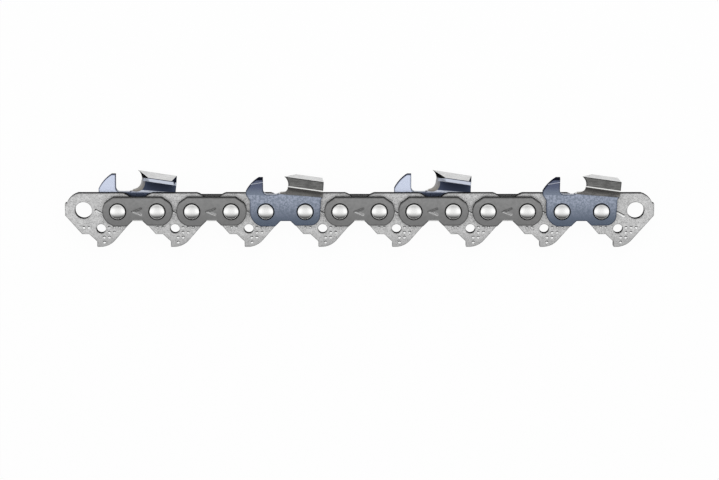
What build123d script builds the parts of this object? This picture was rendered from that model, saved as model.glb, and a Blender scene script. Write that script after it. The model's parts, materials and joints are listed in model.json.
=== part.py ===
from build123d import *
import os
from math import asin, cos, degrees, radians, sin, sqrt, tan

# A short open length of full-chisel saw chain, lying flat on its side.
# X runs along the chain, from the leading end to the trailing end. Y points
# from the drive tangs to the cutters. Z is up, through the thickness.
# All sizes are millimetres. Pieces are drawn about the pitch line and the
# chain's middle plane, and moved to their places when they are written.

# Chain layout
chain_pitch = 9.32
link_rivet_spacing = 8.73
drive_link_count = 8
cutter_sides = {1: "far", 3: "near", 5: "far", 7: "near"}

# Thicknesses and clearances
drive_gauge = 1.6
plate_thickness = 1.3
side_play = 0.09
hub_clearance = 0.05
tenon_clearance = 0.02

# Rivets
hub_radius = 2.1
tenon_radius = 1.6
head_radius = 2.2
head_height = 0.85
head_face_radius = 1.8

# Drive link outline
shoulder_radius = 4.6
shoulder_middle_height = 3.5
link_top = 4.42
nose_reach = 4.655
nose_top = 1.83
nose_bottom = 1.29
flank_angle = 49.3
tang_depth = 9.45
tang_tip_x = -0.3
tang_back_x = 3.5
hook_x = -1.1
hook_top = 8.0
seat_depth = 6.13
seat_end_x = -3.08
link_corner_radius = 0.25

# Drive link details
weight_hole_radius = 1.2
weight_hole_depth = 4.74
pit_radius = 0.38
pit_sides = 6
pit_depth = 0.2
pit_wall_angle = 45
pit_spacing = 1.28
pit_first_x = 0.76
pit_first_depth = 4.37
pit_columns_by_row = [(-4, -3, 1, 2, 3), (1, 2), (0, 1), (0,)]
oil_groove_width = 0.66
oil_groove_depth = 0.25
oil_groove_length = 3.6
oil_groove_angle = -28
oil_groove_wall_angle = 45
oil_groove_centre = (0.1, -0.7)

# Tie strap outline, which the cutters share below the pitch line
strap_top = 3.65
strap_end_radius = 3.9
strap_end_middle_angle = -25
strap_chamfer_start = 1.14
strap_chamfer_end_height = 2.15
front_lobe_depth = 3.82
rear_lobe_depth = 3.6
notch_depth = 2.41
notch_half_width = 1.25
notch_flank_angle = 45
strap_corner_radius = 0.35

# Direction mark on the near straps
mark_length = 2.1
mark_half_height = 0.85
mark_width = 0.34
mark_depth = 0.12

# Cutter outline, measured from its front rivet
base_front_radius = 4.0
base_front_middle_angle = 35
gauge_front_x = -4.96
gauge_foot_height = 4.25
gauge_foot_drop = 1.4
gauge_nose_height = 5.25
gauge_nose_middle = (-2.85, 7.95)
gauge_top_front_x = -1.7
gauge_top_rear_x = -0.66
depth_setting = 0.62
gauge_bend_height = 4.3
gauge_lean = 8
gullet_floor_height = 4.4
gullet_corner_radius = 1.1
gullet_ramp_x = 2.8
gullet_ramp_angle = 26
tooth_blank_front_x = 4.6
heel_top_x = 14.84
heel_base_x = 14.33
heel_base_height = 3.69
heel_step_x = 13.9
heel_step_height = 3.15
heel_step_radius = 0.3
base_rear_overhang = 3.65
base_rear_corner_radius = 2.6
blank_margin = 1

# Cutter tooth section
tip_height = 9.42
cutter_reach = 4.0
top_plate_width = 5.8
top_plate_thickness = 1.0
top_plate_tilt = 2.2
top_plate_rear_x = 14.65
top_plate_rear_slant = 4
side_plate_thickness = 1.1
side_plate_height = 2.62
flare_rise = 2.33
inner_fold_share = 0.35
bend_radius = 0.5
ridge_radius = 0.35
top_relief_angle = 8.5
ridge_relief_angle = 8.4
flare_relief_angle = 4.5
side_relief_angle = 1.8

# File that grinds the cutting edges
file_radius = 2.6
file_angle = 21.5
file_centre_x = 2.95
file_drop = 1.95

# Wear mark on the depth gauge
wear_mark_front = (-3.95, 7.05)
wear_mark_rear = (-0.3, 7.7)
wear_mark_width = 0.2
wear_mark_depth = 0.08

# Worked out from the above
plate_rivet_spacing = 2 * chain_pitch - link_rivet_spacing
station_count = drive_link_count - 1
link_bore_radius = hub_radius + hub_clearance
plate_hole_radius = tenon_radius + tenon_clearance
link_face = drive_gauge / 2
plate_inner = link_face + side_play
plate_outer = plate_inner + plate_thickness
nose_x = link_rivet_spacing / 2 + nose_reach
middle_height = cutter_reach
pitch_line_y = (tang_depth - tip_height) / 2
gauge_top = tip_height - depth_setting
ridge_height = tip_height - side_plate_height
flare_height = ridge_height - flare_rise

os.makedirs("parts", exist_ok=True)


def link_x(number):
    """Where a drive link's middle lies along the chain."""
    return (number - (drive_link_count + 1) / 2) * 2 * chain_pitch


def station_x(number):
    """Where the middle of a pair of side plates lies along the chain."""
    return (number - (station_count + 1) / 2) * 2 * chain_pitch


def write_piece(shape, label, x):
    """Move a finished piece to its place along the chain and write it."""
    with BuildPart() as piece:
        with Locations((x, pitch_line_y, middle_height)):
            add(shape)
    piece.part.label = label
    export_step(piece.part, f"parts/{label}.step")


# Drive link
def shoulder_point(height):
    """A point of the rounded shoulder over the right-hand bore."""
    reach = sqrt(shoulder_radius**2 - height**2)
    return (link_rivet_spacing / 2 + reach, height)


def mirrored(point):
    return (-point[0], point[1])


shoulder_start = shoulder_point(link_top)
shoulder_middle = shoulder_point(shoulder_middle_height)
shoulder_end = shoulder_point(nose_top)
flank_drop = tan(radians(flank_angle))
tang_back = (tang_back_x, -nose_bottom - (nose_x - tang_back_x) * flank_drop)
seat_start = (-nose_x + (seat_depth - nose_bottom) / flank_drop, -seat_depth)

with BuildPart() as drive_link:
    with BuildSketch(Plane.XY.offset(-link_face)) as link_outline:
        with BuildLine():
            Line(mirrored(shoulder_start), shoulder_start)
            ThreePointArc(shoulder_start, shoulder_middle, shoulder_end)
            FilletPolyline(
                shoulder_end,
                (nose_x, nose_top),
                (nose_x, -nose_bottom),
                tang_back,
                radius=link_corner_radius,
            )
            TangentArc(
                tang_back,
                (tang_tip_x, -tang_depth),
                tangent=(-cos(radians(flank_angle)), -sin(radians(flank_angle))),
            )
            FilletPolyline(
                (tang_tip_x, -tang_depth),
                (hook_x, -tang_depth),
                (hook_x, -hook_top),
                (seat_end_x, -seat_depth),
                seat_start,
                (-nose_x, -nose_bottom),
                (-nose_x, nose_top),
                mirrored(shoulder_end),
                radius=link_corner_radius,
            )
            ThreePointArc(
                mirrored(shoulder_end), mirrored(shoulder_middle), mirrored(shoulder_start)
            )
        make_face()
        with GridLocations(link_rivet_spacing, 0, 2, 1):
            Circle(link_bore_radius, mode=Mode.SUBTRACT)
        with Locations((0, -weight_hole_depth)):
            Circle(weight_hole_radius, mode=Mode.SUBTRACT)
    extrude(amount=drive_gauge)

    # Oil groove and oil pits in the face
    with BuildSketch(Plane.XY.offset(link_face)):
        with Locations(Location(oil_groove_centre, oil_groove_angle)):
            Rectangle(oil_groove_length, oil_groove_width)
    extrude(amount=-oil_groove_depth, taper=oil_groove_wall_angle, mode=Mode.SUBTRACT)
    pit_places = [
        (pit_first_x + column * pit_spacing, -pit_first_depth - row * pit_spacing)
        for row, columns in enumerate(pit_columns_by_row)
        for column in columns
    ]
    with BuildSketch(Plane.XY.offset(link_face)):
        with Locations(pit_places):
            RegularPolygon(pit_radius, pit_sides)
    extrude(amount=-pit_depth, taper=pit_wall_angle, mode=Mode.SUBTRACT)


# Tie strap
strap_rivet_x = plate_rivet_spacing / 2
strap_chamfer_start_x = strap_rivet_x + strap_chamfer_start
strap_end_angle = degrees(asin(strap_chamfer_end_height / strap_end_radius))
front_lobe_x = -strap_rivet_x - sqrt(strap_end_radius**2 - front_lobe_depth**2)
rear_lobe_x = strap_rivet_x + sqrt(strap_end_radius**2 - rear_lobe_depth**2)


def strap_end_point(angle):
    """A point of the strap's rounded end, by its angle at the rivet."""
    turn = radians(angle)
    return (strap_rivet_x + strap_end_radius * cos(turn), strap_end_radius * sin(turn))


def notch_foot(lobe_depth):
    """How far from the notch's middle its flank meets a lobe's underside."""
    return notch_half_width + (lobe_depth - notch_depth) / tan(radians(notch_flank_angle))


def draw_plate_underside(rear_x, front_x, shift):
    """Draw the lobes' undersides and the notch between them."""
    FilletPolyline(
        (rear_x, -rear_lobe_depth),
        (shift + notch_foot(rear_lobe_depth), -rear_lobe_depth),
        (shift + notch_half_width, -notch_depth),
        (shift - notch_half_width, -notch_depth),
        (shift - notch_foot(front_lobe_depth), -front_lobe_depth),
        (front_x, -front_lobe_depth),
        radius=strap_corner_radius,
    )


with BuildPart() as plain_strap:
    with BuildSketch(Plane.XY.offset(plate_inner)):
        with BuildLine():
            top_corner = (strap_chamfer_start_x, strap_top)
            end_top = strap_end_point(strap_end_angle)
            end_middle = strap_end_point(strap_end_middle_angle)
            Polyline(mirrored(end_top), mirrored(top_corner), top_corner, end_top)
            ThreePointArc(end_top, end_middle, (rear_lobe_x, -rear_lobe_depth))
            draw_plate_underside(rear_lobe_x, front_lobe_x, 0)
            ThreePointArc(
                (front_lobe_x, -front_lobe_depth), mirrored(end_middle), mirrored(end_top)
            )
        make_face()
        with GridLocations(plate_rivet_spacing, 0, 2, 1):
            Circle(plate_hole_radius, mode=Mode.SUBTRACT)
    extrude(amount=plate_thickness)

with BuildPart() as marked_strap:
    add(plain_strap.part)
    with BuildSketch(Plane.XY.offset(plate_outer)):
        with BuildLine():
            mark = Polyline(
                (mark_length / 2, mark_half_height),
                (-mark_length / 2, 0),
                (mark_length / 2, -mark_half_height),
            )
        trace(mark, mark_width)
    extrude(amount=-mark_depth, mode=Mode.SUBTRACT)


# Cutter
file_span = file_radius / cos(radians(file_angle))
tip_x = file_centre_x + file_span * sqrt(1 - (file_drop / file_radius) ** 2)
base_rear_x = plate_rivet_spacing + base_rear_overhang
gullet_ramp_top = gullet_floor_height + (
    (tooth_blank_front_x - gullet_ramp_x) * tan(radians(gullet_ramp_angle))
)
blank_top = tip_height + blank_margin
base_front_x = -sqrt(base_front_radius**2 - front_lobe_depth**2)
base_front_middle = (
    -base_front_radius * cos(radians(base_front_middle_angle)),
    -base_front_radius * sin(radians(base_front_middle_angle)),
)
gauge_foot_bottom = gauge_foot_height - gauge_foot_drop
rear_slant_run = (top_plate_width + cutter_reach) * tan(radians(top_plate_rear_slant))
file_reach = 2 * (top_plate_width + cutter_reach)


def on_gauge_face(point):
    """A point of the side view, measured up the gauge's leaning face from its bend."""
    return (point[0], (point[1] - gauge_bend_height) / cos(radians(gauge_lean)))


def falling(height, x, angle):
    """A height that drops along the tooth by a relief angle."""
    return height - (x - tip_x) * tan(radians(angle))


def tooth_section(x):
    """The folded strip of the tooth where it is cut across at x."""
    reach = cutter_reach - (x - tip_x) * tan(radians(side_relief_angle))
    top = falling(tip_height, x, top_relief_angle)
    ridge = falling(ridge_height, x, ridge_relief_angle)
    flare = falling(flare_height, x, flare_relief_angle)
    plate_drop = top_plate_width * tan(radians(top_plate_tilt))
    inner_edge = reach - top_plate_width
    inside = reach - side_plate_thickness
    fold = side_plate_thickness * inner_fold_share
    with BuildSketch(Plane.YZ.offset(x)) as section:
        with BuildLine():
            FilletPolyline(
                (-front_lobe_depth, plate_inner),
                (-front_lobe_depth, plate_outer),
                (flare, plate_outer),
                (ridge, reach),
                (top, reach),
                (top - plate_drop, inner_edge),
                (top - plate_drop - top_plate_thickness, inner_edge),
                (top - top_plate_thickness, inside),
                (ridge + fold, inside),
                (flare + fold, plate_inner),
                radius=[0, 0, bend_radius, ridge_radius, 0, 0, 0, ridge_radius, ridge_radius, bend_radius],
                close=True,
            )
        make_face()
    return section.sketch


# The side view that is stamped out before the tooth is folded
with BuildSketch(Plane.XY.offset(-top_plate_width)) as cutter_outline:
    with BuildLine():
        Polyline(
            (-base_front_radius, 0),
            (-base_front_radius, gauge_foot_bottom),
            (gauge_front_x, gauge_foot_height),
            (gauge_front_x, gauge_nose_height),
        )
        ThreePointArc(
            (gauge_front_x, gauge_nose_height),
            gauge_nose_middle,
            (gauge_top_front_x, gauge_top),
        )
        Line((gauge_top_front_x, gauge_top), (gauge_top_rear_x, gauge_top))
        FilletPolyline(
            (gauge_top_rear_x, gauge_top),
            (gauge_top_rear_x, gullet_floor_height),
            (gullet_ramp_x, gullet_floor_height),
            radius=gullet_corner_radius,
        )
        Polyline(
            (gullet_ramp_x, gullet_floor_height),
            (tooth_blank_front_x, gullet_ramp_top),
            (tooth_blank_front_x, blank_top),
            (heel_top_x, blank_top),
            (heel_base_x, heel_base_height),
        )
        FilletPolyline(
            (heel_base_x, heel_base_height),
            (heel_step_x, heel_step_height),
            (base_rear_x, -rear_lobe_depth),
            (plate_rivet_spacing, -rear_lobe_depth),
            radius=[heel_step_radius, base_rear_corner_radius],
        )
        draw_plate_underside(plate_rivet_spacing, base_front_x, strap_rivet_x)
        ThreePointArc(
            (base_front_x, -front_lobe_depth), base_front_middle, (-base_front_radius, 0)
        )
    make_face()
    with Locations((0, 0), (plate_rivet_spacing, 0)):
        Circle(plate_hole_radius, mode=Mode.SUBTRACT)


with BuildPart() as near_cutter:
    # Depth gauge and the front of the base, leaning out above a bend
    gauge_lean_out = (blank_top - gauge_bend_height) * tan(radians(gauge_lean))
    with BuildSketch(Plane.YZ.offset(gauge_front_x - blank_margin)):
        Polygon(
            (-front_lobe_depth, plate_inner),
            (-front_lobe_depth, plate_outer),
            (gauge_bend_height, plate_outer),
            (blank_top, plate_outer + gauge_lean_out),
            (blank_top, plate_inner + gauge_lean_out),
            (gauge_bend_height, plate_inner),
            align=None,
        )
    extrude(amount=gullet_ramp_x - gauge_front_x + blank_margin)
    # Tooth, folded out and over, sinking towards its heel
    loft([tooth_section(gullet_ramp_x), tooth_section(heel_top_x)], ruled=True)
    extrude(
        cutter_outline.sketch, amount=top_plate_width + cutter_reach, mode=Mode.INTERSECT
    )
    # Slanted rear edge of the top plate
    with BuildSketch(Plane.XZ.offset(-blank_top)):
        Polygon(
            (top_plate_rear_x, cutter_reach),
            (top_plate_rear_x - rear_slant_run, -top_plate_width),
            (heel_top_x, -top_plate_width),
            (heel_top_x, cutter_reach),
            align=None,
        )
    extrude(amount=blank_top - flare_height, mode=Mode.SUBTRACT)
    # Hollow-ground cutting edges
    file_axis = Plane(
        origin=(file_centre_x, tip_height - file_drop, cutter_reach),
        z_dir=(sin(radians(file_angle)), 0, -cos(radians(file_angle))),
    )
    with BuildSketch(file_axis):
        Circle(file_radius)
    extrude(amount=file_reach, both=True, mode=Mode.SUBTRACT)
    # Wear mark across the depth gauge's outer face
    gauge_face = Plane(
        origin=(0, gauge_bend_height, plate_outer),
        x_dir=(1, 0, 0),
        z_dir=(0, -sin(radians(gauge_lean)), cos(radians(gauge_lean))),
    )
    with BuildSketch(gauge_face):
        with BuildLine():
            wear_mark = Line(
                on_gauge_face(wear_mark_front), on_gauge_face(wear_mark_rear)
            )
        trace(wear_mark, wear_mark_width)
    extrude(amount=-wear_mark_depth, mode=Mode.SUBTRACT)


# Rivet
with BuildPart() as rivet:
    with BuildSketch(Plane.XZ):
        with BuildLine():
            Polyline(
                (0, 0),
                (hub_radius, 0),
                (hub_radius, plate_inner),
                (tenon_radius, plate_inner),
                (tenon_radius, plate_outer),
                (head_radius, plate_outer),
                (head_face_radius, plate_outer + head_height),
                (0, plate_outer + head_height),
                close=True,
            )
        make_face()
        mirror(about=Plane.XZ)
    revolve(axis=Axis.Z)


# Every piece at its place
for number in range(1, drive_link_count + 1):
    write_piece(drive_link.part, f"drive_link_{number}", link_x(number))

for station in range(1, station_count + 1):
    x = station_x(station)
    cutter_side = cutter_sides.get(station)
    for side in ("near", "far"):
        if side == cutter_side:
            shape = near_cutter.part
            shape_x = x - strap_rivet_x
            label = f"{side}_cutter_{station}"
        else:
            shape = marked_strap.part if side == "near" else plain_strap.part
            shape_x = x
            label = f"{side}_tie_strap_{station}"
        if side == "far":
            shape = mirror(shape, about=Plane.XY)
        write_piece(shape, label, shape_x)
    write_piece(rivet.part, f"rivet_{2 * station - 1}", x - strap_rivet_x)
    write_piece(rivet.part, f"rivet_{2 * station}", x + strap_rivet_x)
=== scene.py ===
import json
import math
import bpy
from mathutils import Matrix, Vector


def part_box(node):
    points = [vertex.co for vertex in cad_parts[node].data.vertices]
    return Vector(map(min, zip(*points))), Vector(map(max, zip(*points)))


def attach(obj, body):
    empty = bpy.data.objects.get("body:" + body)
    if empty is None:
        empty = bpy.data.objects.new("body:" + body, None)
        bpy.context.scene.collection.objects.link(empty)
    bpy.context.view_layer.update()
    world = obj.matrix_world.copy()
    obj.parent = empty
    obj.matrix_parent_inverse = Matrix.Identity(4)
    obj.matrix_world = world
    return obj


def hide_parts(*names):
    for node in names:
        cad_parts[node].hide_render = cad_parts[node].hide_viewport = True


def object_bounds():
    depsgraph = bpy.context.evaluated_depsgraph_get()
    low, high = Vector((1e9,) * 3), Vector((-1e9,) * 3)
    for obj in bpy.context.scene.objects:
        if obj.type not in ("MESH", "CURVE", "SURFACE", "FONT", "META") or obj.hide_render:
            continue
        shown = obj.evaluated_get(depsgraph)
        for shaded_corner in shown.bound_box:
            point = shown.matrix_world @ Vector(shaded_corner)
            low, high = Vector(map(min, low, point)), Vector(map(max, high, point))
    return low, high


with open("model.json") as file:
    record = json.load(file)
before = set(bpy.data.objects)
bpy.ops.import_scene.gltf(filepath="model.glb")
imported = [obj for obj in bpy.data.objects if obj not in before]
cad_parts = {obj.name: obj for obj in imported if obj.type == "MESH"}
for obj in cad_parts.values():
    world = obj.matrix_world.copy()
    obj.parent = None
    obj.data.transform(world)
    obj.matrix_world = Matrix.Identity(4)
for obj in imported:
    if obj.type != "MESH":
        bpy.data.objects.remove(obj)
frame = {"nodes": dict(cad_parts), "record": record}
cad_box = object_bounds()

from types import SimpleNamespace

import bmesh
import bpy
from mathutils import Vector

# A short open length of full-chisel saw chain, lying on its side.
# X runs along the chain, Y from the drive tangs to the cutters, Z up.
# Lengths are metres, and names that end in _mm hold millimetres.

MM = 0.001

# The pitch line, the middle plane and the side plates, from the frame
bore_place = frame["record"]["mounts"][0]["pos_m"]
pitch_y = bore_place[1]
middle_z = bore_place[2]
strap_low, strap_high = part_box("near_tie_strap_4")
plate_inner = strap_low.z - middle_z
plate_outer = strap_high.z - middle_z
chain_middle_x = (cad_box[0].x + cad_box[1].x) / 2

# Edge rounding, as wide as stamping and tumbling leave it
link_edge = 0.10 * MM
strap_edge = 0.12 * MM
cutter_edge = 0.05 * MM
edge_segments = 3
edge_angle = math.radians(35)
flat_angle = math.radians(0.5)
weld_distance = 0.001 * MM

# Rims of the faces, which the Bevel node finds by how much it turns a normal, get painted shade,
# and around the strap's mark a painted highlight
rim_width_mm = 0.2
rim_reach = 3
rim_likeness = (0.93, 0.997)
rim_samples = 8

# Drive link: its tang, which gets darker downwards as painted shade, and its pits and groove, which
# get painted light
tang_painted_shade_mm = (-9.5, -4.5)
pits_top_mm = 0.6
link_rim_mm = 0.15
link_face_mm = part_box("drive_link_1")[1].z / MM
pit_floor_mm = link_face_mm - 0.14

# Strap, with a direction mark in the middle of each along the chain, whose lower stroke gets a
# painted highlight
strap_painted_shade_mm = (-3.5, 3.5)
first_strap_x = (strap_low.x + strap_high.x) / 2
second_low, second_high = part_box("near_tie_strap_5")
strap_spacing = (second_low.x + second_high.x) / 2 - first_strap_x
mark_reach_mm = 1.3
mark_middle_mm = -0.05

# Rivet, whose peened head bulges over its foot, a thin collar that carries a painted contact shadow
hub_radius = 2.1 * MM
tenon_radius = 1.6 * MM
foot_radius = 2.19 * MM
foot_height = 0.07 * MM
neck_radius = 1.88 * MM
head_radius = 1.93 * MM
rim_height = 0.15 * MM
head_height = 0.85 * MM
crown_power = 2
head_rings = 24
rivet_sides = 64

# Cutter, in millimetres from its front rivet, the pitch line and the middle plane.
# Each colour change runs between two heights, and the flare's are under the ridge. Those of the
# base, gauge and flare are painted shade.
base_painted_shade_mm = (-3.5, 3.8)
gauge_painted_shade_mm = (4.4, 6.8)
filed_tone_mm = (4.8, 7.0)
flare_painted_shade_mm = (-2.4, -0.3)
facing_top = (0.6, 0.85)
tip_along_mm = 4.8
tooth_front_mm = 2.2
gullet_mm = (-0.4, 3.0)
gauge_foot_mm = 4.3
gauge_top_mm = (8.0, 8.35)
wear_mark_mm = 7.75
wear_mark_slope = 0.178
wear_mark_half_mm = 0.11
ridge_mm = 6.8
ridge_fall = math.radians(8.4)
ridge_highlight_mm = 0.17
ridge_highlight_half_mm = 0.16
flare_mm = 4.47
flare_fall = math.radians(4.5)
# Above this height under the tip, the filed face is painted in shade
shaded_under_tip_mm = 7.6

# Top plate seen from inside, in painted light: a pale band above the ridge as painted highlight,
# then a dark line and its dark bend as painted shade, then its top as painted reflection
plate_edge_mm = -1.8
plate_width_mm = 5.8
bend_start_mm = -1.2
band_slope = 0.23
band_mm = (1.32, 2.12)
band_highlight_colour = (202, 208, 222)
band_reach_mm = 2.6
plate_top_mm = 2.3
# Rear corner of the top plate, painted in shade on the far cutters
rear_corner_mm = (14.65, 0.885)

# The round file that ground the hollow, and how far its burr reaches inside
file_centre_mm = (2.95, 7.47, 4.0)
file_radius_mm = 2.6
file_angle = math.radians(21.5)
filed_skin_mm = 0.05
burr_mm = 0.45

# Camera, which looks down on the chain from the cutters' side
image_width = 719
image_height = 480
camera_distance = 0.650
camera_tilt = math.radians(13.6)
pixels_per_mm = 3.962
pitch_line_pixel_y = 209.77
chain_middle_pixel_x = 359.55
sensor_width_mm = 36
nearest_seen = 0.01

# Floor and lamp
floor_size = 6.0
floor_whiteness = 0.96
floor_tone = 0.85
lamp_place = (0.05, 0.35, 0.40)
lamp_size = 0.35
lamp_power = 0.9


def display(red, green, blue):
    """A linear colour from its display values, 0 to 255."""
    def linear(value):
        share = value / 255
        return share / 12.92 if share <= 0.04045 else ((share + 0.055) / 1.055) ** 2.4
    return (linear(red), linear(green), linear(blue), 1)


def grey(value):
    return display(value, value, value)


# Building blocks for materials
def add_node(tree, kind, inputs, **settings):
    """Add a node, and set or link its inputs by name or number."""
    node = tree.nodes.new(kind)
    for name, value in settings.items():
        setattr(node, name, value)
    for name, value in inputs.items():
        if isinstance(value, bpy.types.NodeSocket):
            tree.links.new(value, node.inputs[name])
        else:
            node.inputs[name].default_value = value
    return node


def calculate(tree, operation, first, second=0.0):
    return add_node(tree, "ShaderNodeMath", {0: first, 1: second}, operation=operation).outputs[0]


def both(tree, first, second):
    """The product, which is 1 only where both shares are 1."""
    return calculate(tree, "MULTIPLY", first, second)


def either(tree, first, second):
    """The larger one of two shares."""
    return calculate(tree, "MAXIMUM", first, second)


def opposite(tree, share):
    return calculate(tree, "SUBTRACT", 1.0, share)


def ramp(tree, value, low, high, start=0.0, end=1.0):
    """Run smoothly from start to end as value goes from low to high."""
    inputs = {"Value": value, "From Min": low, "From Max": high, "To Min": start, "To Max": end}
    return add_node(tree, "ShaderNodeMapRange", inputs, interpolation_type="SMOOTHSTEP").outputs[0]


def above(tree, value, level, blur):
    """1 above a level and 0 below it, blurred by as much on both sides."""
    return ramp(tree, value, level - blur, level + blur)


def below(tree, value, level, blur):
    return ramp(tree, value, level - blur, level + blur, 1.0, 0.0)


def between(tree, value, levels, blur):
    return both(tree, above(tree, value, levels[0], blur), below(tree, value, levels[1], blur))


def mix(tree, factor, first, second):
    """Mix two colours."""
    inputs = {0: factor, 6: first, 7: second}
    return add_node(tree, "ShaderNodeMix", inputs, data_type="RGBA").outputs[2]


def vector_math(tree, operation, first, second):
    """The vector that comes of two vectors."""
    inputs = {0: first, 1: second}
    return add_node(tree, "ShaderNodeVectorMath", inputs, operation=operation).outputs[0]


def components(tree, vector):
    """The X, Y and Z of a vector."""
    return add_node(tree, "ShaderNodeSeparateXYZ", {0: vector}).outputs


def noise(tree, place, size_mm, detail=3.0, stretch=(1, 1, 1)):
    """Noise with patches about size_mm across, stretched along some axes."""
    scale = [1 / (size_mm * share) for share in stretch]
    moved = add_node(tree, "ShaderNodeMapping", {"Vector": place, "Scale": scale}).outputs[0]
    inputs = {"Vector": moved, "Scale": 1.0, "Detail": detail, "Roughness": 0.6}
    return add_node(tree, "ShaderNodeTexNoise", inputs).outputs[0]


def surface_place(tree, origin=(0, 0, 0), side=1):
    """Place and normal on the object, in millimetres from an origin, with Z outwards."""
    coordinates = add_node(tree, "ShaderNodeTexCoord", {})
    shift = vector_math(tree, "SUBTRACT", coordinates.outputs["Object"], origin)
    place = vector_math(tree, "MULTIPLY", shift, (1 / MM, 1 / MM, side / MM))
    normal = vector_math(tree, "MULTIPLY", coordinates.outputs["Normal"], (1, 1, side))
    return place, normal


def cut_edge_share(tree, facing_out, steepest=0.5, flattest=0.9):
    """1 on the cut edges of a plate, which face sideways, and 0 on its faces."""
    facing = calculate(tree, "ABSOLUTE", facing_out)
    return ramp(tree, facing, steepest, flattest, 1.0, 0.0)


def rim_share(tree, width_mm=rim_width_mm):
    """1 at the edges of a face, fading to 0 about a width inside it."""
    geometry = add_node(tree, "ShaderNodeNewGeometry", {})
    reach = rim_reach * width_mm * MM
    rounded = add_node(tree, "ShaderNodeBevel", {"Radius": reach}, samples=rim_samples)
    normals = {0: rounded.outputs[0], 1: geometry.outputs["Normal"]}
    likeness = add_node(tree, "ShaderNodeVectorMath", normals, operation="DOT_PRODUCT")
    return ramp(tree, likeness.outputs["Value"], *rim_likeness, 1.0, 0.0)


def start_material(name, metallic):
    """A new material that mirrors only as a metal does, with its node tree and its shader."""
    material = bpy.data.materials.new(name)
    material.use_nodes = True
    tree = material.node_tree
    shader = tree.nodes["Principled BSDF"]
    shader.inputs["Metallic"].default_value = metallic
    shader.inputs["Specular IOR Level"].default_value = 0.0
    return material, tree, shader


def set_surface(tree, shader, colour, grain, roughness):
    """Give the shader its colour, and a roughness that follows the grain."""
    tree.links.new(colour, shader.inputs["Base Color"])
    tree.links.new(ramp(tree, grain, 0.3, 0.7, *roughness), shader.inputs["Roughness"])


def set_dull(tree, shader, dull):
    """Take the metal's reflections away where the surface is dull."""
    metallic = shader.inputs["Metallic"]
    tree.links.new(ramp(tree, dull, 0.0, 1.0, metallic.default_value, 0.0), metallic)


def add_bump(tree, shader, height, depth_mm):
    """Raise and sink the shading by a height from 0 to 1."""
    inputs = {"Height": height, "Distance": depth_mm * MM, "Strength": 1.0}
    bump = add_node(tree, "ShaderNodeBump", inputs)
    tree.links.new(bump.outputs[0], shader.inputs["Normal"])


# Drive links and straps
def drive_link_steel():
    """Bright tumbled steel, mottled and finely pitted, darker down the tang and at its rims as
    painted shade, with painted light in its pits and groove and dark cut edges, partly scale and
    partly painted shade.
    """
    material, tree, shader = start_material("drive_link_steel", 0.7)
    place, normal = surface_place(tree, (0, pitch_y, 0))
    height, depth = components(tree, place)[1:3]
    towards_cutters, facing_out = components(tree, normal)[1:3]
    mottle = ramp(tree, noise(tree, place, 0.9), 0.35, 0.65)
    grain = noise(tree, place, 0.25, 2.0)
    # Painted shade: darker down the tang
    face = mix(tree, ramp(tree, height, *tang_painted_shade_mm), grey(194), grey(229))
    face = mix(tree, both(tree, mottle, 0.5), face, grey(186))
    face = mix(tree, ramp(tree, grain, 0.5, 0.66, 0.0, 0.6), face, grey(134))
    face = mix(tree, both(tree, rim_share(tree, link_rim_mm), 0.5), face, grey(70))

    # Pits and groove get painted light: a white floor and lower wall as painted highlights, and
    # painted shade on the upper wall
    near_pits = below(tree, height, pits_top_mm, 0.2)
    sunk = below(tree, depth, pit_floor_mm, 0.02)
    floor = both(tree, sunk, above(tree, facing_out, 0.925, 0.025))
    sloping = both(tree, near_pits, below(tree, facing_out, 0.85, 0.05))
    lit_wall = both(tree, sloping, above(tree, towards_cutters, 0.2, 0.1))
    shaded_wall = both(tree, sloping, below(tree, towards_cutters, -0.2, 0.1))
    face = mix(tree, both(tree, near_pits, floor), face, grey(250))
    face = mix(tree, lit_wall, face, grey(255))
    face = mix(tree, shaded_wall, face, grey(70))

    cut_edge = cut_edge_share(tree, facing_out, 0.4, 0.6)
    set_surface(tree, shader, mix(tree, cut_edge, face, grey(36)), grain, (0.36, 0.5))
    set_dull(tree, shader, either(tree, cut_edge, lit_wall))
    add_bump(tree, shader, calculate(tree, "ADD", grain, mottle), 0.012)
    return material


def mark_highlight_share(tree, along, height):
    """1 around the lower stroke of the direction mark in the middle of each strap, which gets a
    painted highlight.
    """
    from_first = calculate(tree, "SUBTRACT", along, first_strap_x / MM)
    half_spacing = strap_spacing / MM / 2
    inputs = {0: from_first, 1: half_spacing, 2: -half_spacing}
    from_middle = add_node(tree, "ShaderNodeMath", inputs, operation="WRAP").outputs[0]
    reach = calculate(tree, "ABSOLUTE", from_middle)
    lower_half = below(tree, height, mark_middle_mm, 0.1)
    return both(tree, below(tree, reach, mark_reach_mm, 0.05), lower_half)


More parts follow.
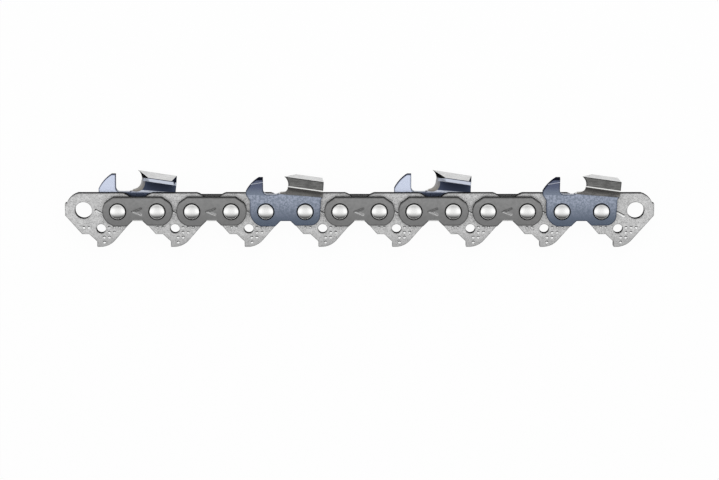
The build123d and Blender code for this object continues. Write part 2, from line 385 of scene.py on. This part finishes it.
def strap_steel():
    """Dark grey satin steel, lighter upwards and nearly black at its rims as painted shade, with
    nearly black cut edges, partly scale and partly painted shade, and a painted highlight on each
    mark's lower stroke.
    """
    material, tree, shader = start_material("strap_steel", 0.7)
    place, normal = surface_place(tree, (0, pitch_y, 0))
    along, height = components(tree, place)[0:2]
    mottle = ramp(tree, noise(tree, place, 0.8), 0.3, 0.7)
    grain = noise(tree, place, 0.16, 2.0)
    rim = rim_share(tree)
    cut_edge = cut_edge_share(tree, components(tree, normal)[2])
    # Painted shade: lighter upwards, nearly black at the rims
    face = mix(tree, ramp(tree, height, *strap_painted_shade_mm), grey(134), grey(154))
    face = mix(tree, both(tree, mottle, 0.35), face, grey(120))
    face = mix(tree, both(tree, rim, 0.8), face, grey(44))
    colour = mix(tree, cut_edge, face, grey(44))
    # Painted highlight on the mark's lower stroke
    colour = mix(tree, both(tree, rim, mark_highlight_share(tree, along, height)), colour, grey(232))
    set_surface(tree, shader, colour, grain, (0.38, 0.5))
    set_dull(tree, shader, cut_edge)
    add_bump(tree, shader, grain, 0.004)
    return material


# Cutters
def above_line(tree, along, height, start_mm, fall):
    """How far a place lies above a line that falls from under the tip to the heel."""
    drop = both(tree, along, math.tan(fall))
    line = calculate(tree, "SUBTRACT", start_mm + tip_along_mm * math.tan(fall), drop)
    return calculate(tree, "SUBTRACT", height, line)


def file_gap(tree, place):
    """How far a place lies outside the file that ground the hollow, in millimetres."""
    axis = (math.sin(file_angle), 0, -math.cos(file_angle))
    arm = vector_math(tree, "SUBTRACT", place, file_centre_mm)
    across = vector_math(tree, "CROSS_PRODUCT", arm, axis)
    distance = add_node(tree, "ShaderNodeVectorMath", {0: across}, operation="LENGTH")
    return calculate(tree, "SUBTRACT", distance.outputs["Value"], file_radius_mm)


def cutter_spot(tree, front_rivet_x, side):
    """Where a point lies on a cutter, and which way it faces, with the tooth's own heights."""
    place, normal = surface_place(tree, (front_rivet_x, pitch_y, middle_z), side)
    along, height, outward = components(tree, place)
    facing_back, facing_up, facing_out = components(tree, normal)
    above_ridge = above_line(tree, along, height, ridge_mm, ridge_fall)
    lean = both(tree, calculate(tree, "SUBTRACT", outward, plate_edge_mm), band_slope)
    return SimpleNamespace(
        place=place,
        along=along,
        height=height,
        outward=outward,
        facing_back=facing_back,
        facing_up=facing_up,
        facing_out=facing_out,
        above_ridge=above_ridge,
        above_flare=above_line(tree, along, height, flare_mm, flare_fall),
        above_band=calculate(tree, "ADD", above_ridge, lean),
        file_gap=file_gap(tree, place),
        on_gauge=above(tree, height, gauge_foot_mm, 0.1),
        shaded_under_tip=above(tree, height, shaded_under_tip_mm, 0.4),
    )


def base_finish(tree, spot):
    """Blued steel of the cutter's base, mottled, and darker towards its foot and at its rims as
    painted shade.
    """
    mottle = ramp(tree, noise(tree, spot.place, 0.4), 0.4, 0.6)
    upwards = ramp(tree, spot.height, *base_painted_shade_mm)
    blue = mix(tree, upwards, display(94, 103, 120), display(172, 180, 198))
    blue = mix(tree, both(tree, mottle, 0.6), blue, display(102, 114, 128))
    return mix(tree, both(tree, rim_share(tree), 0.7), blue, display(36, 42, 60))


def gauge_finish(tree, spot):
    """Blued steel of the depth gauge, darker upwards and at its rims as painted shade, nearly black
    at its top, with a bright wear mark.
    """
    upwards = ramp(tree, spot.height, *gauge_painted_shade_mm)
    blue = mix(tree, upwards, display(148, 159, 178), display(112, 120, 146))
    blue = mix(tree, ramp(tree, spot.height, *gauge_top_mm), blue, display(24, 26, 40))
    blue = mix(tree, both(tree, rim_share(tree), 0.7), blue, display(30, 34, 50))
    mark_height = calculate(tree, "ADD", both(tree, spot.along, wear_mark_slope), wear_mark_mm)
    miss = calculate(tree, "ABSOLUTE", calculate(tree, "SUBTRACT", spot.height, mark_height))
    return mix(tree, below(tree, miss, wear_mark_half_mm, 0.05), blue, display(222, 228, 244))


def tooth_finish(tree, spot):
    """Ground steel of the tooth: top plate painted bright as reflection where it faces up, grey
    side plate with painted shade at its rims, flare in painted shade that darkens towards the
    ridge, and a painted highlight along the ridge.
    """
    brushed = noise(tree, spot.place, 0.22, 2.0, (9, 1, 1))
    streaks = ramp(tree, brushed, 0.35, 0.65)
    side_plate = mix(tree, streaks, display(98, 98, 97), display(126, 126, 125))
    side_plate = mix(tree, both(tree, rim_share(tree), 0.85), side_plate, grey(30))
    top_plate = mix(tree, streaks, grey(192), grey(222))
    # Painted shade on the flare, darker towards the ridge
    near_ridge = ramp(tree, spot.above_ridge, *flare_painted_shade_mm)
    flare = mix(tree, near_ridge, display(204, 201, 196), display(98, 96, 94))
    colour = mix(tree, above(tree, spot.above_ridge, 0, 0.1), flare, side_plate)
    # Painted highlight along the ridge
    from_line = calculate(tree, "SUBTRACT", spot.above_ridge, ridge_highlight_mm)
    miss = calculate(tree, "ABSOLUTE", from_line)
    ridge_highlight = below(tree, miss, ridge_highlight_half_mm, 0.04)
    colour = mix(tree, ridge_highlight, colour, display(254, 254, 252))
    # Top plate painted bright as reflection where it faces up
    return mix(tree, ramp(tree, spot.facing_up, *facing_top), colour, top_plate)


def filed_finish(tree, spot):
    """Filed steel, nearly black under the tip as painted shade, with the end of the top plate's
    pale band across it as a painted highlight.
    """
    upwards = ramp(tree, spot.height, *filed_tone_mm)
    low = mix(tree, upwards, display(140, 136, 130), display(144, 144, 148))
    colour = mix(tree, spot.shaded_under_tip, low, display(16, 16, 18))
    under_plate = below(tree, spot.outward, band_reach_mm, 0.2)
    band = both(tree, under_plate, between(tree, spot.above_band, band_mm, 0.02))
    return mix(tree, band, colour, display(*band_highlight_colour))


def inner_finish(tree, spot, tooth, filed_steel):
    """The cutter's inner side, in painted light: a pale gauge as painted reflection with shaded
    rims, base, tooth and bend in painted shade, a pale flare as painted reflection, and the top
    plate's edge as a pale painted highlight band, a painted shade line and a bright top.
    """
    rim = both(tree, rim_share(tree), 0.9)
    gauge = mix(tree, rim, display(217, 225, 245), display(36, 44, 74))
    outside_tooth = mix(tree, spot.on_gauge, display(102, 112, 136), gauge)
    above_foot = above(tree, spot.above_flare, 0.5, 0.1)
    inside_tooth = mix(tree, above_foot, display(210, 216, 230), display(66, 74, 94))
    by_file = below(tree, spot.file_gap, burr_mm, 0.05)
    inside_tooth = mix(tree, by_file, inside_tooth, filed_steel)
    for level, shade in (
        (band_mm[0], display(*band_highlight_colour)),
        (band_mm[1], display(34, 40, 58)),
        (plate_top_mm, display(226, 226, 230)),
    ):
        inside_tooth = mix(tree, above(tree, spot.above_band, level, 0.02), inside_tooth, shade)
    bend = both(
        tree,
        above(tree, spot.outward, bend_start_mm, 0.2),
        above(tree, spot.above_band, band_mm[1], 0.02),
    )
    inside_tooth = mix(tree, bend, inside_tooth, display(26, 26, 30))
    return mix(tree, tooth, outside_tooth, inside_tooth)


def shaded_rear_corner_share(tree, spot):
    """1 on the ground corner at the rear of the top plate, widest at its inner edge, where painted
    shade goes.
    """
    rear_x, width = rear_corner_mm
    slant = width / plate_width_mm
    start = rear_x - width - plate_edge_mm * slant
    line = calculate(tree, "ADD", both(tree, spot.outward, slant), start)
    beyond = above(tree, calculate(tree, "SUBTRACT", spot.along, line), 0, 0.02)
    return both(tree, beyond, ramp(tree, spot.facing_up, *facing_top))


def cutter_steel(name, front_rivet_x, side):
    """Blued steel with a ground, plated tooth and filed cutting edges, with painted shade,
    highlights and reflections on it.
    """
    material, tree, shader = start_material(name, 0.8)
    spot = cutter_spot(tree, front_rivet_x, side)
    behind_gullet = above(tree, spot.along, tooth_front_mm, 0.1)
    tooth = both(tree, behind_gullet, above(tree, spot.above_flare, 0, 0.08))
    gauge = both(tree, opposite(tree, behind_gullet), spot.on_gauge)
    colour = base_finish(tree, spot)
    colour = mix(tree, gauge, colour, gauge_finish(tree, spot))
    colour = mix(tree, tooth, colour, tooth_finish(tree, spot))

    filed_steel = filed_finish(tree, spot)
    inwards = below(tree, spot.facing_out, -0.5, 0.1)
    colour = mix(tree, inwards, colour, inner_finish(tree, spot, tooth, filed_steel))

    # Cut edges are dark, partly scale and partly painted shade, but for the tooth's sides and the
    # gullet's floor, which gets a painted highlight. The far cutters' rear corner gets the same
    # painted shade.
    tooth_sides = both(tree, tooth, below(tree, spot.facing_back, 0.5, 0.1))
    cut_edge = both(tree, cut_edge_share(tree, spot.facing_out), opposite(tree, tooth_sides))
    if side < 0:
        shaded_corner = both(tree, tooth, shaded_rear_corner_share(tree, spot))
        cut_edge = either(tree, cut_edge, shaded_corner)
    in_gullet = between(tree, spot.along, gullet_mm, 0.2)
    gullet_highlight = both(tree, in_gullet, above(tree, spot.facing_up, 0.45, 0.15))
    edge = mix(tree, gullet_highlight, display(28, 31, 44), display(186, 190, 198))
    colour = mix(tree, cut_edge, colour, edge)

    gap = calculate(tree, "ABSOLUTE", spot.file_gap)
    on_file_path = below(tree, gap, filed_skin_mm, 0.02)
    filed = both(tree, behind_gullet, on_file_path)
    colour = mix(tree, filed, colour, filed_steel)
    grain = noise(tree, spot.place, 0.2, 2.0)
    set_surface(tree, shader, colour, grain, (0.26, 0.4))
    dull = either(tree, cut_edge, both(tree, filed, spot.shaded_under_tip))
    set_dull(tree, shader, either(tree, dull, both(tree, inwards, tooth)))
    add_bump(tree, shader, grain, 0.003)
    return material


# Rivets and floor
def rivet_steel():
    """Bright spun steel, with a painted contact shadow, nearly black, on the foot where the head
    meets the plate.
    """
    material, tree, shader = start_material("rivet_steel", 0.95)
    place = surface_place(tree)[0]
    height = calculate(tree, "ABSOLUTE", components(tree, place)[2])
    foot_top = (plate_outer + foot_height) / MM
    head = ramp(tree, height, foot_top, foot_top + 0.08)
    colour = mix(tree, head, grey(15), display(246, 246, 245))
    set_surface(tree, shader, colour, noise(tree, place, 0.3, 2.0), (0.12, 0.18))
    return material


def floor_paint():
    """A pale floor that the camera sees as white, with the chain's shadow on it."""
    material = bpy.data.materials.new("floor_paint")
    material.use_nodes = True
    tree = material.node_tree
    tree.nodes.clear()
    path = add_node(tree, "ShaderNodeLightPath", {})
    seen = either(tree, path.outputs["Is Camera Ray"], path.outputs["Is Glossy Ray"])
    seen = either(tree, seen, path.outputs["Is Transmission Ray"])
    paint = (floor_tone, floor_tone, floor_tone, 1)
    diffuse = add_node(tree, "ShaderNodeBsdfDiffuse", {"Color": paint})
    white = add_node(tree, "ShaderNodeEmission", {"Color": (1, 1, 1, 1), "Strength": 1.0})
    share = both(tree, seen, floor_whiteness)
    inputs = {0: share, 1: diffuse.outputs[0], 2: white.outputs[0]}
    mixed = add_node(tree, "ShaderNodeMixShader", inputs)
    output = add_node(tree, "ShaderNodeOutputMaterial", {})
    tree.links.new(mixed.outputs[0], output.inputs["Surface"])
    return material


# Pieces
def soften_edges(node, width):
    """Round the sharp edges of a CAD node and leave its shape as it is."""
    weld = node.modifiers.new("weld", "WELD")
    weld.merge_threshold = weld_distance
    flats = node.modifiers.new("flats", "DECIMATE")
    flats.decimate_type = "DISSOLVE"
    flats.angle_limit = flat_angle
    edges = node.modifiers.new("edges", "BEVEL")
    edges.width = width
    edges.segments = edge_segments
    edges.limit_method = "ANGLE"
    edges.angle_limit = edge_angle
    edges.harden_normals = True


def dress(node_name, material, width):
    """Give a CAD node its material and its rounded edges."""
    node = frame["nodes"][node_name]
    node.data.materials.clear()
    node.data.materials.append(material)
    soften_edges(node, width)


def rivet_profile():
    """Half of the rivet's outline, from the hub's middle to its head's rim, and its crown."""
    profile = [
        (hub_radius, 0),
        (hub_radius, plate_inner),
        (tenon_radius, plate_inner),
        (tenon_radius, plate_outer),
        (foot_radius, plate_outer),
        (foot_radius, plate_outer + foot_height),
        (neck_radius, plate_outer + foot_height),
    ]
    crown_rise = head_height - rim_height
    for ring in range(head_rings):
        share = math.cos(math.pi / 2 * ring / head_rings)
        rise = crown_rise * math.sqrt(1 - share**crown_power)
        profile.append((head_radius * share, plate_outer + rim_height + rise))
    return profile, plate_outer + head_height


def rivet_mesh(material):
    """A peened rivet, turned about its own axis."""
    half, crown = rivet_profile()
    profile = [(radius, -height) for radius, height in reversed(half[1:])] + half[1:]
    mesh = bpy.data.meshes.new("peened_rivet")
    shape = bmesh.new()
    rings = []
    for radius, height in profile:
        ring = []
        for number in range(rivet_sides):
            turn = 2 * math.pi * number / rivet_sides
            ring.append(shape.verts.new((radius * math.cos(turn), radius * math.sin(turn), height)))
        rings.append(ring)
    for lower, upper in zip(rings, rings[1:]):
        for number in range(rivet_sides):
            after = (number + 1) % rivet_sides
            shape.faces.new((lower[number], lower[after], upper[after], upper[number]))
    for ring, height in ((rings[0], -crown), (rings[-1], crown)):
        top = shape.verts.new((0, 0, height))
        for number in range(rivet_sides):
            shape.faces.new((ring[number], ring[(number + 1) % rivet_sides], top))
    bmesh.ops.recalc_face_normals(shape, faces=shape.faces)
    for face in shape.faces:
        face.smooth = True
    for edge in shape.edges:
        if len(edge.link_faces) == 2 and edge.calc_face_angle() > edge_angle:
            edge.smooth = False
    shape.to_mesh(mesh)
    shape.free()
    mesh.materials.append(material)
    return mesh


def place_rivets(material):
    """Stand a peened rivet in the place of each plain one."""
    mesh = rivet_mesh(material)
    bodies = frame["record"]["behaviour"]["bodies"]
    for body, members in bodies.items():
        for name in members:
            if name.startswith("rivet_"):
                low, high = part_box(name)
                rivet = bpy.data.objects.new(f"peened_{name}", mesh)
                rivet.location = (low + high) / 2
                bpy.context.scene.collection.objects.link(rivet)
                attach(rivet, body)
                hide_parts(name)


# Studio
def make_floor():
    """A wide floor at the height that the chain lies on."""
    shape = bmesh.new()
    bmesh.ops.create_grid(shape, x_segments=1, y_segments=1, size=floor_size / 2)
    mesh = bpy.data.meshes.new("floor")
    shape.to_mesh(mesh)
    shape.free()
    mesh.materials.append(floor_paint())
    floor = bpy.data.objects.new("floor", mesh)
    floor.location.z = cad_box[0].z
    bpy.context.scene.collection.objects.link(floor)


def add_area_light(name, place, size, power):
    """A soft square light that faces the chain's middle and that steel doesn't mirror."""
    light = bpy.data.lights.new(name, "AREA")
    light.shape = "SQUARE"
    light.size = size
    light.energy = power
    lamp = bpy.data.objects.new(name, light)
    lamp.location = place
    toward = Vector((chain_middle_x, pitch_y, middle_z)) - lamp.location
    lamp.rotation_euler = toward.to_track_quat("-Z", "Y").to_euler()
    lamp.visible_glossy = False
    bpy.context.scene.collection.objects.link(lamp)


def light_studio():
    """A pale room that is dark on the tangs' side, and one soft lamp."""
    world = bpy.data.worlds.new("studio")
    bpy.context.scene.world = world
    world.use_nodes = True
    tree = world.node_tree
    tree.nodes.clear()
    coordinates = add_node(tree, "ShaderNodeTexCoord", {})
    across, toward_cutters = components(tree, coordinates.outputs["Generated"])[0:2]
    dusk = ramp(tree, toward_cutters, -0.8, -0.18, 0.06, 0.92)
    dimming = ramp(tree, toward_cutters, -0.1, 0.6, 1.0, 0.6)
    sides = ramp(tree, calculate(tree, "ABSOLUTE", across), 0.1, 0.6, 1.0, 1.25)
    wall = ramp(tree, toward_cutters, 0.75, 0.95, 1.0, 1.4)
    shade = both(tree, both(tree, dusk, dimming), both(tree, sides, wall))
    room = add_node(tree, "ShaderNodeBackground", {"Color": shade, "Strength": 1.0})
    output = add_node(tree, "ShaderNodeOutputWorld", {})
    tree.links.new(room.outputs[0], output.inputs["Surface"])
    add_area_light("key_light", lamp_place, lamp_size, lamp_power)


def place_camera():
    """The photograph's view: nearly square on, from a little above the cutters."""
    data = bpy.data.cameras.new("camera")
    data.sensor_width = sensor_width_mm
    focal_pixels = pixels_per_mm * camera_distance / MM
    data.lens = focal_pixels * sensor_width_mm / image_width
    data.clip_start = nearest_seen
    back = Vector((0, math.sin(camera_tilt), math.cos(camera_tilt)))
    up = Vector((0, math.cos(camera_tilt), -math.sin(camera_tilt)))
    left_shift = (image_width / 2 - chain_middle_pixel_x) / pixels_per_mm * MM
    drop = (image_height / 2 - pitch_line_pixel_y) / pixels_per_mm * MM
    target = Vector((chain_middle_x + left_shift, pitch_y, middle_z)) - up * drop
    camera = bpy.data.objects.new("camera", data)
    camera.location = target + back * camera_distance
    camera.rotation_euler = (-camera_tilt, 0, 0)
    bpy.context.scene.collection.objects.link(camera)
    bpy.context.scene.camera = camera


# The chain
link_material = drive_link_steel()
strap_material = strap_steel()
for node_name in frame["nodes"]:
    if node_name.startswith("drive_link"):
        dress(node_name, link_material, link_edge)
    elif "tie_strap" in node_name:
        dress(node_name, strap_material, strap_edge)
    elif "cutter" in node_name:
        station = int(node_name.split("_")[-1])
        low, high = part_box(f"rivet_{2 * station - 1}")
        side = 1 if node_name.startswith("near") else -1
        finish = cutter_steel(f"{node_name}_steel", (low.x + high.x) / 2, side)
        dress(node_name, finish, cutter_edge)
place_rivets(rivet_steel())

# The studio
bpy.context.scene.view_settings.view_transform = "Standard"
make_floor()
light_studio()
place_camera()
